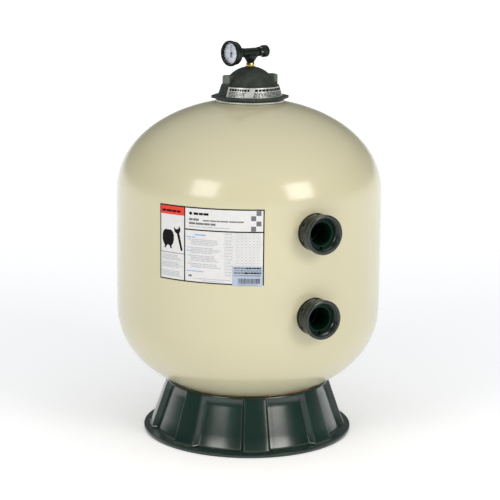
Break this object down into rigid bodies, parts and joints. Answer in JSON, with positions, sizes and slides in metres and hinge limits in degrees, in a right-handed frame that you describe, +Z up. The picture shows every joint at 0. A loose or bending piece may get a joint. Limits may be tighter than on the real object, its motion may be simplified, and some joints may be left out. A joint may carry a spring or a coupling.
{
  "type": "sand filter tank",
  "caption": "Side-mount pool sand filter tank on a flared foot, with screw lid, pressure gauge, relief valve and two pipe ports.",
  "frame": {"origin": "centre of the foot's underside, on the tank's axis", "axes": "+Z up along the tank's axis, -Y out of the two pipe ports, +Y out of the drain"},
  "size_m": [0.622, 0.699, 0.93],
  "materials": {
    "tank": "satin gelcoat fibreglass, beige",
    "foot": "gloss moulded plastic, near black",
    "fitting": "moulded ABS, near black",
    "lid": "glass-filled plastic, semi-matte",
    "neck": "moulded insert, pale",
    "rubber": "EPDM, matte",
    "brass": "machined brass",
    "pipe": "PVC and ABS internals, white",
    "label": "printed film",
    "foil": "brushed foil label",
    "resin": "bonding resin, amber",
    "lens": "clear window",
    "needle": "black"
  },
  "bodies": {
    "tank": {"air_bleed_tube": "fitting", "air_strainer": "pipe", "barrel": "tank", "bonding_bead": "resin", "diffuser": "pipe", "drain_collar": "fitting", "drain_gasket": "rubber", "drain_spigot": "fitting", "foot_skirt": "foot", "inlet_elbow": "pipe", "inlet_pipe": "fitting", "inlet_riser": "pipe", "instruction_label": "label", "lateral_hub": "fitting", "lower_bulkhead": "fitting", "lower_dome": "tank", "lower_inner_gasket": "rubber", "lower_locknut": "fitting", "lower_outer_washer": "rubber", "lower_port_adapter": "fitting", "neck_ring": "neck", "outlet_elbow": "pipe", "outlet_pipe": "fitting", "outlet_riser": "pipe", "tube_clip": "fitting", "upper_bulkhead": "fitting", "upper_dome": "tank", "upper_inner_gasket": "rubber", "upper_locknut": "fitting", "upper_outer_washer": "rubber", "upper_port_adapter": "fitting"},
    "seal": {"closure_oring": "rubber"},
    "closure": {"closure_lid": "lid", "lid_label": "foil", "brass_adapter": "brass", "valve_tee": "fitting", "gauge_socket": "brass", "gauge_case": "fitting", "gauge_movement": "brass", "gauge_dial": "label", "gauge_lens": "lens", "gauge_bezel": "fitting"},
    "relief_valve": {"relief_knob": "fitting", "relief_stem": "fitting"},
    "needle": {"gauge_needle": "needle"},
    "cap_seal": {"drain_cap_seal": "rubber"},
    "cap": {"drain_cap": "fitting"},
    "arm_1": {"lateral_1": "pipe"},
    "arm_2": {"lateral_2": "pipe"},
    "arm_3": {"lateral_3": "pipe"},
    "arm_4": {"lateral_4": "pipe"},
    "arm_5": {"lateral_5": "pipe"},
    "arm_6": {"lateral_6": "pipe"},
    "arm_7": {"lateral_7": "pipe"},
    "arm_8": {"lateral_8": "pipe"}
  },
  "joints": [
    {"name": "closure_lift", "type": "slide", "parent": "tank", "child": "seal", "axis": [0, 0, 1], "range_m": [0, 0.0361]},
    {"name": "closure_turn", "type": "hinge", "parent": "seal", "child": "closure", "pos_m": [0, 0, 0.77], "axis": [0, 0, 1], "range_deg": [0, 1080]},
    {"name": "relief_knob_turn", "type": "hinge", "parent": "closure", "child": "relief_valve", "pos_m": [0, 0, 0.9005], "axis": [0.9659, 0.2588, 0], "range_deg": [0, 180]},
    {"name": "gauge_needle_turn", "type": "hinge", "parent": "closure", "child": "needle", "pos_m": [-0.05796, -0.01553, 0.9005], "axis": [0.9659, 0.2588, 0], "range_deg": [-135, 135], "stiffness_Nm_per_rad": 0.0002},
    {"name": "drain_cap_travel", "type": "slide", "parent": "tank", "child": "cap_seal", "axis": [0, 1, 0], "range_m": [0, 0.0201]},
    {"name": "drain_cap_turn", "type": "hinge", "parent": "cap_seal", "child": "cap", "pos_m": [0, 0.32, 0.196], "axis": [0, 1, 0], "range_deg": [0, 1800]},
    {"name": "lateral_1_fold", "type": "hinge", "parent": "tank", "child": "arm_1", "pos_m": [0.0176, -0.0425, 0.172], "axis": [-0.9239, -0.3827, 0], "range_deg": [0, 70]},
    {"name": "lateral_2_fold", "type": "hinge", "parent": "tank", "child": "arm_2", "pos_m": [0.0425, -0.0176, 0.172], "axis": [-0.3827, -0.9239, 0], "range_deg": [0, 70]},
    {"name": "lateral_3_fold", "type": "hinge", "parent": "tank", "child": "arm_3", "pos_m": [0.0425, 0.0176, 0.172], "axis": [0.3827, -0.9239, 0], "range_deg": [0, 70]},
    {"name": "lateral_4_fold", "type": "hinge", "parent": "tank", "child": "arm_4", "pos_m": [0.0176, 0.0425, 0.172], "axis": [0.9239, -0.3827, 0], "range_deg": [0, 70]},
    {"name": "lateral_5_fold", "type": "hinge", "parent": "tank", "child": "arm_5", "pos_m": [-0.0176, 0.0425, 0.172], "axis": [0.9239, 0.3827, 0], "range_deg": [0, 70]},
    {"name": "lateral_6_fold", "type": "hinge", "parent": "tank", "child": "arm_6", "pos_m": [-0.0425, 0.0176, 0.172], "axis": [0.3827, 0.9239, 0], "range_deg": [0, 70]},
    {"name": "lateral_7_fold", "type": "hinge", "parent": "tank", "child": "arm_7", "pos_m": [-0.0425, -0.0176, 0.172], "axis": [-0.3827, 0.9239, 0], "range_deg": [0, 70]},
    {"name": "lateral_8_fold", "type": "hinge", "parent": "tank", "child": "arm_8", "pos_m": [-0.0176, -0.0425, 0.172], "axis": [-0.9239, 0.3827, 0], "range_deg": [0, 70]}
  ],
  "couplings": [
    {"joint": "closure_lift", "follows": "closure_turn", "m_per_rad": 0.0019099},
    {"joint": "drain_cap_travel", "follows": "drain_cap_turn", "m_per_rad": 0.00063662}
  ]
}
